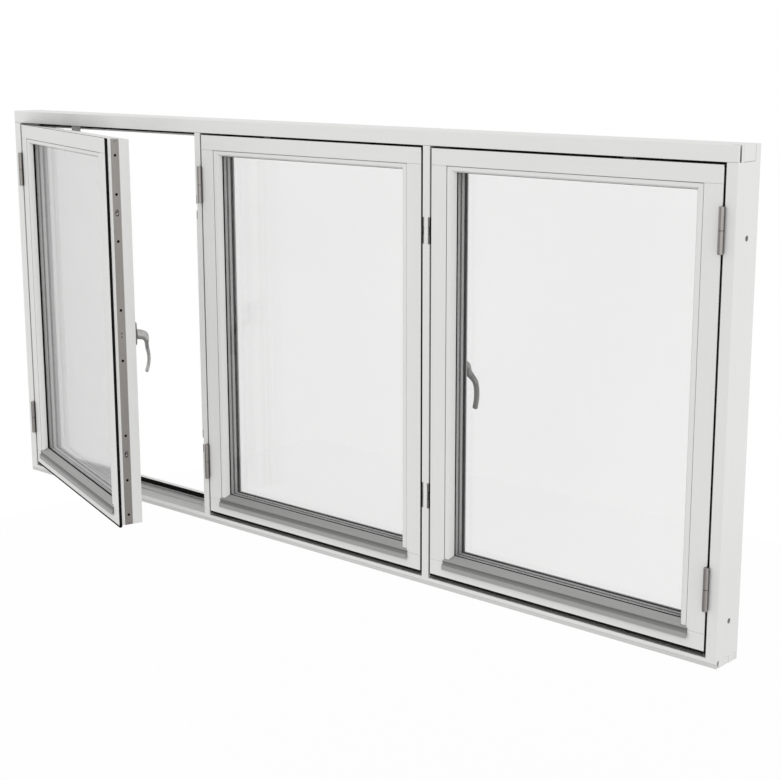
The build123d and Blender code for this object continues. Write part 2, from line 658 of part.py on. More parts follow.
for light in ("left", "middle", "right"):
    for piece, solids in sash_pieces.items():
        placed = [hang(solid, light) for solid in solids]
        if light == "left":
            placed = [swing(solid) for solid in placed]
        save(f"{light}_{piece}", *placed)
    save(f"{light}_frame_hinges", *[hang(half, light) for half in frame_hinges])

stay_block = make_stay_block()
save("stay_blocks", *[hang(stay_block, light) for light in ("left", "middle", "right")])
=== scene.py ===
import json
from math import radians

import bmesh
import bpy
import numpy as np
from mathutils import Matrix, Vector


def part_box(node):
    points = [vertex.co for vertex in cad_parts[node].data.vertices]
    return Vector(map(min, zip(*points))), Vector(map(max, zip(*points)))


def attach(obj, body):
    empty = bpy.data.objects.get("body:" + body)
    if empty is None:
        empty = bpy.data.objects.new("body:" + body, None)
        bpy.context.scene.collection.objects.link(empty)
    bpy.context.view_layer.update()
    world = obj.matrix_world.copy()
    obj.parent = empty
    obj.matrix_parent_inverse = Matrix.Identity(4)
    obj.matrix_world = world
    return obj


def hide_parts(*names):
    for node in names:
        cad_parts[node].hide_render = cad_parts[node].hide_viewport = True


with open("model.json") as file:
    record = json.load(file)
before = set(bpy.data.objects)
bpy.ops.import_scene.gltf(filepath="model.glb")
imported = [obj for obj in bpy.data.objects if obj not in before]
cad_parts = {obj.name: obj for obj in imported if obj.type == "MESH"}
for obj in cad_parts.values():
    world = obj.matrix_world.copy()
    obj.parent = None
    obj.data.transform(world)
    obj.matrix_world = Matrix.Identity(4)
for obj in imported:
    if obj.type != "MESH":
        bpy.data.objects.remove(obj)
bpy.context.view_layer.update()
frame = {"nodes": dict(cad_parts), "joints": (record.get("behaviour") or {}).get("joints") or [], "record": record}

# Painted timber of the frame. The head, sill, jambs and mullions are planed pine, comb-jointed, glued
# and sprayed white, so a little of the grain and the fine skin of the spray show in grazing light.
PAINT = (0.80, 0.80, 0.787, 1)
PAINT_GLOSS = 0.36
PAINT_RELIEF = 0.00012
GRAIN_PER_METRE = (3, 95, 95)
SPRAY_PER_METRE = 850
TONE_PER_METRE = 2.3
REFLECTION_SHADE_LEVEL = 0.5
# Painted shade: the share the paint darkens to near other surfaces, its reach, and how open a surface is before it
# darkens.
PAINT_CREVICE_SHADE = (0.5, 0.012, 0.75)
HEAD_PAINTED_SHADE = (0.35, 0.09, 1.0)
joints = {joint["name"]: joint for joint in frame["joints"]}
open_angle = -radians(joints["left_sash_swing"]["range_deg"][0])


def node_in(tree, kind, values=None, **settings):
    """A node of a kind in a tree; each value is set on its socket, or linked to it if it is a socket."""
    made = tree.nodes.new(kind)
    for key, value in settings.items():
        setattr(made, key, value)
    for key, value in (values or {}).items():
        if isinstance(value, bpy.types.NodeSocket):
            tree.links.new(value, made.inputs[key])
        else:
            made.inputs[key].default_value = value
    return made


def spread(tree, fac, low, high):
    """A factor from noise, mapped from its usual range to a range of values."""
    values = {"Value": fac, "From Min": 0.3, "From Max": 0.7, "To Min": low, "To Max": high}
    return node_in(tree, "ShaderNodeMapRange", values).outputs["Result"]


def shader_group(name, takes, gives):
    """A shader node group with named sockets, and the sockets of its input and output nodes."""
    tree = bpy.data.node_groups.new(name, "ShaderNodeTree")
    for way, sockets in (("INPUT", takes), ("OUTPUT", gives)):
        for label, kind in sockets.items():
            tree.interface.new_socket(label, in_out=way, socket_type="NodeSocket" + kind)
    return tree, tree.nodes.new("NodeGroupInput").outputs, tree.nodes.new("NodeGroupOutput").inputs


def new_finish(name, **constants):
    """A material, its node tree and its shader, with the constants set on the shader's own sockets."""
    material = bpy.data.materials.new(name)
    material.use_nodes = True
    shader = material.node_tree.nodes["Principled BSDF"]
    for key, value in constants.items():
        shader.inputs[key.replace("_", " ")].default_value = value
    return material, material.node_tree, shader


def covered(material_name, group, turn, values, relief, crevice_shade, **constants):
    """A finish whose colour, roughness and relief come from a group, in turned Object coordinates.

    Where another surface comes within reach, the colour darkens towards its share: painted shade in
    crevices and under things. Where a pane mirrors it, the colour is darker too: painted shade in its reflection."""
    material, tree, shader = new_finish(material_name, **constants)
    place = node_in(tree, "ShaderNodeTexCoord").outputs["Object"]
    turned = node_in(tree, "ShaderNodeMapping", {"Vector": place, "Rotation": turn})
    cover = node_in(tree, "ShaderNodeGroup", node_tree=group)
    tree.links.new(turned.outputs[0], cover.inputs["Vector"])
    for key, value in values.items():
        cover.inputs[key].default_value = value
    bump = node_in(tree, "ShaderNodeBump", {"Height": cover.outputs["Height"], "Distance": relief})
    bump.inputs["Strength"].default_value = 0.4
    share, reach, clear = crevice_shade
    # Ambient occlusion darkens the colour where other surfaces are near: painted shade.
    close = node_in(tree, "ShaderNodeAmbientOcclusion", {"Distance": reach}, samples=8)
    open_to_air = {"Value": close.outputs["AO"], "From Min": 0.2, "From Max": clear, "To Min": share}
    crevice_shade_value = node_in(tree, "ShaderNodeMapRange", open_to_air).outputs[0]
    tint = node_in(tree, "ShaderNodeHueSaturation", {"Color": cover.outputs["Color"], "Value": crevice_shade_value})
    # The colour is darker in what a pane mirrors: painted shade in reflections.
    mirrored = node_in(tree, "ShaderNodeLightPath").outputs["Is Glossy Ray"]
    reflection_shade = {"Value": mirrored, "To Min": 1, "To Max": REFLECTION_SHADE_LEVEL}
    reflection_shade = node_in(tree, "ShaderNodeMapRange", reflection_shade).outputs[0]
    tint = node_in(tree, "ShaderNodeHueSaturation", {"Color": tint.outputs[0], "Value": reflection_shade})
    tree.links.new(tint.outputs[0], shader.inputs["Base Color"])
    tree.links.new(cover.outputs["Roughness"], shader.inputs["Roughness"])
    tree.links.new(bump.outputs["Normal"], shader.inputs["Normal"])
    return material


def dress(material, *names):
    """Give the CAD nodes of these names one finish."""
    for name in names:
        for place in frame["nodes"][name].material_slots:
            place.material = material


# Spray over timber: long noise is the grain, fine noise the spray's skin, and broad noise the tone.
spray, given, made = shader_group(
    "sprayed_timber",
    {"Vector": "Vector", "Paint": "Color", "Gloss": "Float"},
    {"Color": "Color", "Roughness": "Float", "Height": "Float"},
)
stretched = node_in(spray, "ShaderNodeMapping", {"Vector": given["Vector"], "Scale": GRAIN_PER_METRE})
grain = node_in(spray, "ShaderNodeTexNoise", {"Vector": stretched.outputs[0], "Scale": 1, "Detail": 4})
skin = node_in(spray, "ShaderNodeTexNoise", {"Vector": given["Vector"], "Scale": SPRAY_PER_METRE})
tone = node_in(spray, "ShaderNodeTexNoise", {"Vector": given["Vector"], "Scale": TONE_PER_METRE})
shade = node_in(spray, "ShaderNodeMix", {"Factor": 0.5, "A": grain.outputs[0], "B": tone.outputs[0]})
tint = node_in(spray, "ShaderNodeHueSaturation", {"Color": given["Paint"]})
spray.links.new(spread(spray, shade.outputs[0], 0.985, 1.01), tint.inputs["Value"])
gloss = node_in(spray, "ShaderNodeMath", {0: given["Gloss"], 1: spread(spray, skin.outputs[0], 0, 0.08)})
relief = node_in(spray, "ShaderNodeMath", {0: grain.outputs[0], 1: skin.outputs[0]})
spray.links.new(tint.outputs[0], made["Color"])
spray.links.new(gloss.outputs[0], made["Roughness"])
spray.links.new(relief.outputs[0], made["Height"])


def painted(name, turn, paint=PAINT, crevice_shade=PAINT_CREVICE_SHADE):
    """White paint over timber whose grain runs along X in its turned coordinates."""
    values = {"Paint": paint, "Gloss": PAINT_GLOSS}
    return covered(name, spray, turn, values, PAINT_RELIEF, crevice_shade, Specular_IOR_Level=0.4)


level_paint = painted("white_paint_level", (0, 0, 0))
upright_paint = painted("white_paint_upright", (0, radians(90), 0))
open_paint = painted("white_paint_open_rails", (0, 0, open_angle))
dress(level_paint, "sill")
# The head's paint darkens where other surfaces lie within 9 cm, as over the open sash: painted shade.
dress(painted("white_paint_head", (0, 0, 0), PAINT, HEAD_PAINTED_SHADE), "head")
dress(upright_paint, "left_jamb", "right_jamb", "left_mullion", "right_mullion")

# Fixing plugs. Each jamb is bored twice for a frame screw, and a grey plastic plug with a shallow dish
# is pushed a little way into each bore, so from the side it is a grey eye with a shaded rim.
PLUG_LENGTH = 0.008
PLUG_SINK = 0.0025
PLUG_DISH = 0.0006
PLUG_FIT = 0.00002
PLUG_GREY = (0.20, 0.20, 0.205, 1)
ROUND_STEPS = 40


def skin_over(name, grids, round_rows=False, round_columns=False):
    """A mesh of quads over grids of points, copies by rows by columns, joined up where they are round.

    Rows that meet in a point are welded there, and the closed shell is turned to face outwards."""
    copies, rows, columns = grids.shape[:3]
    index = np.arange(rows * columns).reshape(rows, columns)
    if round_rows:
        index = np.vstack([index, index[:1]])
    if round_columns:
        index = np.hstack([index, index[:, :1]])
    quads = np.stack([index[:-1, :-1], index[1:, :-1], index[1:, 1:], index[:-1, 1:]], axis=-1)
    quads = quads.reshape(1, -1, 4) + np.arange(copies).reshape(-1, 1, 1) * rows * columns
    mesh = bpy.data.meshes.new(name)
    mesh.from_pydata(grids.reshape(-1, 3).tolist(), [], quads.reshape(-1, 4).tolist())
    welded = bmesh.new()
    welded.from_mesh(mesh)
    bmesh.ops.remove_doubles(welded, verts=welded.verts, dist=1e-7)
    bmesh.ops.recalc_face_normals(welded, faces=welded.faces)
    welded.to_mesh(mesh)
    welded.free()
    mesh.polygons.foreach_set("use_smooth", np.ones(len(mesh.polygons), bool))
    mesh.set_sharp_from_angle(angle=radians(35))
    piece = bpy.data.objects.new(name, mesh)
    bpy.context.scene.collection.objects.link(piece)
    return piece


def turned_about(centre, axis, across, radii, heights):
    """A turned shape: each radius swings once round an axis, with its height measured along the axis."""
    swing = np.linspace(0, 2 * np.pi, ROUND_STEPS, endpoint=False)[:, None]
    spokes = np.cos(swing) * across + np.sin(swing) * np.cross(axis, across)
    rise = np.array(heights).reshape(-1, 1, 1) * np.array(axis)
    return np.array(centre) + np.array(radii).reshape(-1, 1, 1) * spokes + rise


def moulded(name, colour, roughness, change):
    """A plain moulded finish whose tone changes a little in fine patches."""
    material, tree, shader = new_finish(name, Roughness=roughness, Specular_IOR_Level=0.08)
    place = node_in(tree, "ShaderNodeTexCoord").outputs["Object"]
    bloom = node_in(tree, "ShaderNodeTexNoise", {"Vector": place, "Scale": 260, "Detail": 3})
    tint = node_in(tree, "ShaderNodeHueSaturation", {"Color": colour})
    tree.links.new(spread(tree, bloom.outputs[0], 1 - change, 1 + change), tint.inputs["Value"])
    bump = node_in(tree, "ShaderNodeBump", {"Height": bloom.outputs[0], "Strength": 0.2, "Distance": 0.0001})
    tree.links.new(tint.outputs[0], shader.inputs["Base Color"])
    tree.links.new(bump.outputs[0], shader.inputs["Normal"])
    return material


plug_plastic = moulded("plug_plastic", PLUG_GREY, 0.5, 0.12)
for side in ("left", "right"):
    mount = next(m for m in frame["record"]["mounts"] if m["name"] == f"{side}_jamb_fixings")
    bore = mount["dims"]["hole_r_mm"] / 1000 - PLUG_FIT
    apart = np.array((0, 0, mount["dims"]["spacing_y_mm"] / 2000))
    middle = np.array(mount["pos_m"])
    radii = bore * np.array((0, 0.55, 0.75, 0.92, 1, 1, 0))
    dish = PLUG_DISH * np.array((1, 0.9, 0, 0, 0.5, 0, 0))
    back = PLUG_LENGTH * np.array((0, 0, 0, 0, 0, 1, 1))
    plugs = [
        turned_about(centre, mount["axis"], (0, 1, 0), radii, -PLUG_SINK - dish - back)
        for centre in (middle - apart, middle + apart)
    ]
    plugs = skin_over(f"{side}_fixing_plugs", np.array(plugs), round_columns=True)
    plugs.data.materials.append(plug_plastic)
    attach(plugs, "frame")

# Sill apron. A strip of the same timber is planted under the nose of the sill, just behind its face, with
# an eased foot, and the end slots run on through it. Its paint is greyer than the front's: painted shade under the
# nose.
APRON_SHADED_PAINT = (0.65, 0.65, 0.641, 1)
APRON_FRONT, APRON_BACK, APRON_SLOT = 0.0015, 0.00998, 0.0045
APRON_TOP, APRON_EASE = 0.0103, 0.001
SLOT_LENGTH, EASE_STEPS = 0.015, 6
sill_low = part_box("sill")[0]

# The strip's section, a rectangle with a quarter circle at its front foot, is carried along the sill. It is
# thin over each end slot, and shrinks to a point at both ends so that they are closed.
apron = []
slotted = ((0, APRON_SLOT, 0), (0, APRON_SLOT, 1), (SLOT_LENGTH, APRON_SLOT, 1))
stations = (*slotted, (SLOT_LENGTH, APRON_BACK, 1))
swing = np.linspace(0, np.pi / 2, EASE_STEPS)
for inset, back, size in stations:
    foot = APRON_EASE - APRON_EASE * np.sin(swing)
    front = APRON_FRONT + APRON_EASE - APRON_EASE * np.cos(swing)
    depth = np.concatenate([[APRON_FRONT], front, [back, back]])
    height = np.concatenate([[APRON_TOP], foot, [0, APRON_TOP]])
    depth, height = (part * size + part.mean() * (1 - size) for part in (depth, height))
    row = [np.full_like(depth, sill_low.x + inset), sill_low.y + depth, height]
    apron.append(np.stack(row, axis=-1))
apron = np.array(apron + [row * (-1, 1, 1) for row in apron[::-1]])
apron = skin_over("sill_apron", apron[None], round_columns=True)
# Greyer paint: painted shade under the nose.
apron.data.materials.append(painted("apron_paint", (0, 0, 0), APRON_SHADED_PAINT))
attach(apron, "frame")

# Sill weathering. Three extruded aluminium profiles, natural anodised, are clipped over the sloped sill
# and step up under each sash. Extruding leaves fine lines that run the length of a profile.
ALUMINIUM = (0.43, 0.43, 0.425, 1)
# The sill's profiles are coloured lighter than the beads' aluminium: painted light.
SILL_LIT_ALUMINIUM = (0.52, 0.52, 0.515, 1)
ALUMINIUM_DULLNESS = 0.45
ANODISED_SHEEN = 0.3
METAL_RELIEF = 0.00003
# Painted shade near other surfaces, for the metal and for the sill's profiles.
METAL_CREVICE_SHADE = (0.35, 0.012, 0.75)
SILL_CREVICE_SHADE = (0.9, 0.012, 0.75)
DRAW_PER_METRE = (5, 1300, 1300)
ETCH_PER_METRE = 2400

# Drawn metal: noise stretched along X gives the lines of the die, and fine noise the etched surface.
drawn, given, made = shader_group(
    "drawn_metal",
    {"Vector": "Vector", "Metal": "Color", "Dullness": "Float"},
    {"Color": "Color", "Roughness": "Float", "Height": "Float"},
)
stretched = node_in(drawn, "ShaderNodeMapping", {"Vector": given["Vector"], "Scale": DRAW_PER_METRE})
lines = node_in(drawn, "ShaderNodeTexNoise", {"Vector": stretched.outputs[0], "Scale": 1, "Detail": 3})
etch = node_in(drawn, "ShaderNodeTexNoise", {"Vector": given["Vector"], "Scale": ETCH_PER_METRE})
tint = node_in(drawn, "ShaderNodeHueSaturation", {"Color": given["Metal"]})
drawn.links.new(spread(drawn, lines.outputs[0], 0.94, 1.06), tint.inputs["Value"])
dull = node_in(drawn, "ShaderNodeMath", {0: given["Dullness"], 1: spread(drawn, etch.outputs[0], 0, 0.1)})
relief = node_in(drawn, "ShaderNodeMath", {0: lines.outputs[0], 1: etch.outputs[0]})
drawn.links.new(tint.outputs[0], made["Color"])
drawn.links.new(dull.outputs[0], made["Roughness"])
drawn.links.new(relief.outputs[0], made["Height"])


def metal(name, colour, dullness, turn=(0, 0, 0), sheen=1, crevice_shade=METAL_CREVICE_SHADE):
    """A drawn metal whose lines run along X in its turned coordinates; less sheen makes it chalkier."""
    values = {"Metal": colour, "Dullness": dullness}
    return covered(name, drawn, turn, values, METAL_RELIEF, crevice_shade, Metallic=sheen)


sill_aluminium = metal(
    "anodised_sill", SILL_LIT_ALUMINIUM, ALUMINIUM_DULLNESS, (0, 0, 0), ANODISED_SHEEN, SILL_CREVICE_SHADE
)
dress(sill_aluminium, "sill_profiles")

# Stop seals. A black rubber seal with a hollow bulb is pressed into a groove round the stop of each
# light. Its four lengths are welded in mitres, so one soft bulb runs right round the opening.
RUBBER = (0.008, 0.008, 0.008, 1)
SEAL_INSET = 0.005
HEAD_SEAL_RISE, FOOT_SEAL_DROP = 0.004, 0.004
SEAL_WIDTH = 0.009
SEAL_FOOT = 0.0012
BULB_STEPS = 14
MULLION_FACE = 0.021
HALF_GAP = 0.0025
LIGHTS = ("left", "middle", "right")
pins = {light: np.array(joints[f"{light}_sash_swing"]["pos_m"]) for light in LIGHTS}
light_width = pins["middle"][0] - pins["left"][0] - MULLION_FACE
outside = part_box("left_jamb")[0].y


def mitred_ring(section, left, right, low, high, foot=1):
    """A ring round a rectangle: each section point, an inset and a depth, goes round the four corners.

    Along the foot the insets are stretched, so that the ring can be broader there."""
    inset, depth = np.array(section).T
    x = np.stack([left + inset, right - inset, right - inset, left + inset])
    z = np.stack([low + foot * inset, low + foot * inset, high - inset, high - inset])
    return np.stack([x, np.broadcast_to(depth, x.shape), z], axis=-1)


def half_round(centre, half_width, base, crown, power=1):
    """Points over a half oval, from side to side and from its base to its crown; a low power squares it."""
    swing = np.linspace(np.pi, 0, BULB_STEPS)
    across = np.sign(np.cos(swing)) * abs(np.cos(swing)) ** power
    return np.stack([centre + half_width * across, base + crown * np.sin(swing) ** power], axis=-1)


black_rubber = moulded("black_rubber", RUBBER, 0.8, 0.3)
seal_low, seal_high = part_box("stop_seals")
seal_front, seal_back = seal_low.y, seal_high.y
crown = seal_front - seal_back + SEAL_FOOT
bulb = half_round(SEAL_WIDTH / 2, SEAL_WIDTH / 2 - SEAL_FOOT, seal_back - SEAL_FOOT, crown)
near_foot = [(0, seal_back), (0, seal_back - SEAL_FOOT)]
far_foot = [(SEAL_WIDTH, seal_back - SEAL_FOOT), (SEAL_WIDTH, seal_back)]
rings = []
for light in LIGHTS:
    away = -joints[f"{light}_sash_swing"]["axis"][2]
    hinge_edge = pins[light][0] - away * HALF_GAP
    left, right = sorted((hinge_edge, hinge_edge + away * light_width))
    bounds = (left + SEAL_INSET, right - SEAL_INSET, seal_low.z - FOOT_SEAL_DROP)
    bounds += (seal_high.z + HEAD_SEAL_RISE, 1 + FOOT_SEAL_DROP / SEAL_WIDTH)
    rings.append(mitred_ring([*near_foot, *bulb, *far_foot], *bounds))
bulbs = skin_over("stop_seal_bulbs", np.array(rings), round_rows=True, round_columns=True)
bulbs.data.materials.append(black_rubber)
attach(bulbs, "frame")
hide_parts("stop_seals")

# Keeps and stay blocks. The keeps are zinc-plated strike plates let into the front edge of each mullion,
# and a pressed block under the head stops the stay of each sash. Both are bright but not polished. Black
# pads lie on two of the keeps beside the right sash: painted shade in the narrow gap there.
ZINC = (0.41, 0.385, 0.365, 1)
STAY_GREY = (0.44, 0.44, 0.43, 1)
ZINC_DULLNESS, STAY_DULLNESS = 0.34, 0.4
SHADE_PAD_HEIGHTS = (0.223, 0.853)
SHADE_PAD_LENGTH = 0.052
SHADE_PAD_AT, SHADE_PAD_HALF = 0.0062, 0.0050
SHADE_PAD_SINK, SHADE_PAD_PROUD = 0.0005, 0.0012
zinc = metal("zinc_plated_steel", ZINC, ZINC_DULLNESS, (0, radians(90), 0))
dress(zinc, "keeps")
dress(metal("stay_block_zinc", STAY_GREY, STAY_DULLNESS), "stay_blocks")
# Black pads in the gap beside the right sash: painted shade.
shade_pad_face = pins["right"][0] + HALF_GAP - light_width
section = half_round(outside + SHADE_PAD_AT, SHADE_PAD_HALF, shade_pad_face - SHADE_PAD_SINK, SHADE_PAD_SINK + SHADE_PAD_PROUD)[:, ::-1]
shade_pads = []
for z in SHADE_PAD_HEIGHTS:
    rows = []
    for end, size in ((-1, 0), (-1, 1), (1, 1), (1, 0)):
        flat = section.mean(axis=0) * (1 - size) + section * size
        rows.append(np.column_stack([flat, np.full(len(flat), z + end * SHADE_PAD_LENGTH / 2)]))
    shade_pads.append(rows)
shade_pads = skin_over("keep_pads", np.array(shade_pads), round_columns=True)
shade_pads.data.materials.append(black_rubber)
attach(shade_pads, "frame")

# Hinges. Each is a pair of turned steel barrels on flat leaves: the lower one carries the pin and is
# screwed to the frame, and the upper one drops over the pin. A black washer lies between the two.
HINGE_STEEL = (0.46, 0.435, 0.415, 1)
WASHER_OUT = 0.0054
WASHER_BORE = 0.00355
WASHER_EASE = 0.0003
WASHER_THICK = 0.0011
HINGE_HEIGHTS = (0.1705, 0.913)
HINGE_DULLNESS, WASHER_DULLNESS = 0.30, 0.55
hinge_steel = metal("satin_hinge_steel", HINGE_STEEL, HINGE_DULLNESS, (0, radians(90), 0))
dress(hinge_steel, *[f"{light}_{half}_hinges" for light in LIGHTS for half in ("frame", "sash")])
washer_black = moulded("washer_black", RUBBER, WASHER_DULLNESS, 0.3)
half = WASHER_THICK / 2
eased = WASHER_OUT - WASHER_EASE
radii = (WASHER_BORE, WASHER_BORE, eased, WASHER_OUT, WASHER_OUT, eased)
heights = (-half, half, half, half - WASHER_EASE, WASHER_EASE - half, -half)
for light in LIGHTS:
    rings = [
        turned_about((*pins[light][:2], z), (0, 0, 1), (1, 0, 0), radii, heights)
        for z in HINGE_HEIGHTS
    ]
    washers = skin_over(f"{light}_hinge_washers", np.array(rings), round_rows=True, round_columns=True)
    washers.data.materials.append(washer_black)
    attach(washers, "frame")

# Sash timber and foot beads. Rails and stiles are planed pine, sprayed like the frame, and the bead along
# the foot is extruded and anodised. The left sash stands open, so its grain and lines turn with it.
# The foot bead's colour is darker in its cove and on its slope, by height: painted shade.
COVE_LOW, COVE_TOP = 0.0640, 0.0735
COVE_SOFT = 0.002
COVE_PAINTED_SHADE, SLOPE_PAINTED_SHADE = 0.5, 0.9


def beaded(name, turn):
    """Anodised aluminium darkened by height: painted shade, darkest in its cove and a little darker on its slope.
    """
    material = metal(name, ALUMINIUM, ALUMINIUM_DULLNESS, turn, ANODISED_SHEEN)
    tree = material.node_tree
    place = node_in(tree, "ShaderNodeTexCoord").outputs["Object"]
    height = node_in(tree, "ShaderNodeSeparateXYZ", {0: place}).outputs["Z"]
    share = None
    for edge, below, above in ((COVE_LOW, 1, COVE_PAINTED_SHADE), (COVE_TOP, 0, SLOPE_PAINTED_SHADE - COVE_PAINTED_SHADE)):
        step = {"Value": height, "From Min": edge - COVE_SOFT / 2, "From Max": edge + COVE_SOFT / 2}
        step.update({"To Min": below, "To Max": above})
        step = node_in(tree, "ShaderNodeMapRange", step).outputs[0]
        share = step if share is None else node_in(tree, "ShaderNodeMath", {0: share, 1: step}).outputs[0]
    colour = tree.nodes["Principled BSDF"].inputs["Base Color"]
    tint = node_in(tree, "ShaderNodeHueSaturation", {"Color": colour.links[0].from_socket, "Value": share})
    tree.links.new(tint.outputs[0], colour)
    return material


open_aluminium = beaded("anodised_bead_open", (0, 0, open_angle))
level_aluminium = beaded("anodised_bead", (0, 0, 0))
for light in LIGHTS:
    rail_paint = open_paint if light == "left" else level_paint
    dress(rail_paint, f"{light}_top_rail", f"{light}_foot_rail")
    dress(upright_paint, f"{light}_hinge_stile", f"{light}_lock_stile")
    dress(open_aluminium if light == "left" else level_aluminium, f"{light}_foot_bead")

# Glazing beads. Top and sides are one mitred bead with a quirk along the frame of the sash, a flat face
# and a steep bevel towards the glass. Its feet are scribed to the slope of the aluminium bead.
SIDE_BEAD, SIDE_FLAT, SIDE_SIGHT = 0.044, 0.0130, 0.0645
TOP_BEAD, TOP_FLAT, TOP_SIGHT = 0.0375, 0.0095, 0.0520
BEAD_FACE, BEAD_EDGE, BEAD_BACK = 0.0015, 0.0120, 0.0140
QUIRK_WIDTH, QUIRK_DEPTH, BEAD_ROUND = 0.0012, 0.0045, 0.0005
SLOPE_FOOT, SLOPE_RISE, BEAD_GAP = 0.0756, 0.78, 0.0012
sash_low, sash_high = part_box("middle_foot_rail")[0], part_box("middle_top_rail")[1]
sash_width, sash_foot, sash_top = sash_high.x - sash_low.x, sash_low.z, sash_high.z
sash_depth = sash_high.y - outside


def hung(light, points):
    """Points drawn from the hinged edge, the outside face and the sill's foot, moved into a light.

    The width runs away from the pin, and the open sash is turned about its pin by the open angle."""
    pin, away = pins[light], -joints[f"{light}_sash_swing"]["axis"][2]
    angle = open_angle if light == "left" else 0
    dx = away * (points[..., 0] + HALF_GAP)
    dy = outside + points[..., 1] - pin[1]
    x = pin[0] + dx * np.cos(angle) + dy * np.sin(angle)
    y = pin[1] - dx * np.sin(angle) + dy * np.cos(angle)
    return np.stack([x, y, points[..., 2]], axis=-1)


def bead_insets(edge, flat, sight):
    """How far each point of the bead's section lies from the edge of the sash."""
    face = [edge + QUIRK_WIDTH, edge + QUIRK_WIDTH, edge + QUIRK_WIDTH + BEAD_ROUND]
    return np.array([edge, edge, *face, edge + flat - BEAD_ROUND, edge + flat + BEAD_ROUND, sight, sight])


bead_depths = [BEAD_BACK, QUIRK_DEPTH, QUIRK_DEPTH, BEAD_FACE + BEAD_ROUND, BEAD_FACE]
bead_depths = np.array(bead_depths + [BEAD_FACE, BEAD_FACE + BEAD_ROUND, BEAD_EDGE, BEAD_BACK])
side_insets = bead_insets(SIDE_BEAD, SIDE_FLAT, SIDE_SIGHT)
top_insets = bead_insets(TOP_BEAD, TOP_FLAT, TOP_SIGHT)
scribed = SLOPE_FOOT + SLOPE_RISE * bead_depths + BEAD_GAP
foot_row = np.stack([side_insets, bead_depths, scribed], axis=-1)
corner_row = np.stack([side_insets, bead_depths, sash_top - top_insets], axis=-1)
half_bead = [np.broadcast_to(foot_row.mean(axis=0), foot_row.shape), foot_row, corner_row]
other_half = [row * (-1, 1, 1) + (sash_width, 0, 0) for row in half_bead[::-1]]
for light in LIGHTS:
    beads = hung(light, np.array([half_bead + other_half]))
    beads = skin_over(f"{light}_mitred_beads", beads, round_columns=True)
    beads.data.materials.append(upright_paint)
    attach(beads, f"{light}_sash")
    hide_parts(f"{light}_glazing_beads")

# Panes. Each sash holds three panes of float glass. What passes through them is a little greyer than
# the light outside, and shadows and soft light go straight through.
GLASS_TINT = (0.995, 0.996, 0.994, 1)
GLASS_SHADE = (0.92, 0.92, 0.918, 1)
glass, tree, shader = new_finish("float_glass", Transmission_Weight=1, Roughness=0, IOR=1.5)
place = node_in(tree, "ShaderNodeTexCoord").outputs["Object"]
ripple = node_in(tree, "ShaderNodeTexNoise", {"Vector": place, "Scale": 1.7, "Detail": 1})
tint = node_in(tree, "ShaderNodeHueSaturation", {"Color": GLASS_TINT})
tree.links.new(spread(tree, ripple.outputs[0], 0.995, 1.003), tint.inputs["Value"])
tree.links.new(tint.outputs[0], shader.inputs["Base Color"])
path = node_in(tree, "ShaderNodeLightPath").outputs
soft = {0: path["Is Shadow Ray"], 1: path["Is Diffuse Ray"]}
straight = node_in(tree, "ShaderNodeMath", soft, operation="MAXIMUM").outputs[0]
clear = node_in(tree, "ShaderNodeBsdfTransparent", {"Color": GLASS_SHADE})
either = node_in(tree, "ShaderNodeMixShader", {0: straight, 1: shader.outputs[0], 2: clear.outputs[0]})
tree.links.new(either.outputs[0], tree.nodes["Material Output"].inputs["Surface"])
dress(glass, *[f"{light}_panes" for light in LIGHTS])

# Spacers and their sealant. A grey box section keeps the panes apart, and a thin black line of butyl
# shows along each side of it, where it is stuck to the glass.
SPACER_GREY = (0.49, 0.49, 0.49, 1)
BUTYL = (0.02, 0.02, 0.02, 1)
SPACER_SIDE, SPACER_TOP, SPACER_FOOT = 0.0615, 0.0520, 0.0535
BUTYL_WIDTH = 0.0016
BUTYL_PROUD = 0.00025
spacer_bounds = (SPACER_SIDE, sash_width - SPACER_SIDE, sash_foot + SPACER_FOOT, sash_top - SPACER_TOP)


def strip(depth, width, proud):
    """A flat strip's section on the spacer's inner face, about a depth, standing a little proud."""
    near, far = depth - width / 2, depth + width / 2
    return [(0, near), (proud, near), (proud, far), (0, far)]


spacer_grey = moulded("spacer_grey", SPACER_GREY, 0.45, 0.05)
butyl = moulded("black_butyl", BUTYL, 0.7, 0.3)
spacer_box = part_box("middle_spacers")
pane_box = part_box("middle_panes")
spacer_front, spacer_back = spacer_box[0].y - outside, spacer_box[1].y - outside
pane = spacer_front - (pane_box[0].y - outside)
cavity = (spacer_back - spacer_front - pane) / 2
for light in LIGHTS:
    dress(spacer_grey, f"{light}_spacers")
    lines = []
    for near in (spacer_front, spacer_front + cavity + pane):
        for depth in (near + BUTYL_WIDTH / 2, near + cavity - BUTYL_WIDTH / 2):
            lines.append(mitred_ring(strip(depth, BUTYL_WIDTH, BUTYL_PROUD), *spacer_bounds))
    lines = hung(light, np.array(lines))
    lines = skin_over(f"{light}_spacer_lines", lines, round_rows=True, round_columns=True)
    lines.data.materials.append(butyl)
    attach(lines, f"{light}_sash")

# Glazing and edge seals. Black rubber closes the joint between glass and bead with a rounded lip, and
# another seal sits in the edge of the sash. It is pressed in at the closed sides, and free elsewhere.
FOOT_SIGHT = 0.0545
LIP_OUT, LIP_ROOT = 0.0012, 0.009
OUTER_SEAL, INNER_SEAL = 0.0035, 0.0025
FREE_AT, FREE_HALF, FREE_OUT = 0.0039, 0.0036, 0.0022
PRESSED_AT, PRESSED_HALF, PRESSED_OUT = 0.0052, 0.0017, 0.0002
EDGE_ROOT, EDGE_POWER, EDGE_DROP = 0.0028, 0.35, 0.0030
pane_front, pane_back = pane_box[0].y - outside, pane_box[1].y - outside
sight = (SIDE_SIGHT, sash_width - SIDE_SIGHT, sash_foot + FOOT_SIGHT, sash_top - TOP_SIGHT)


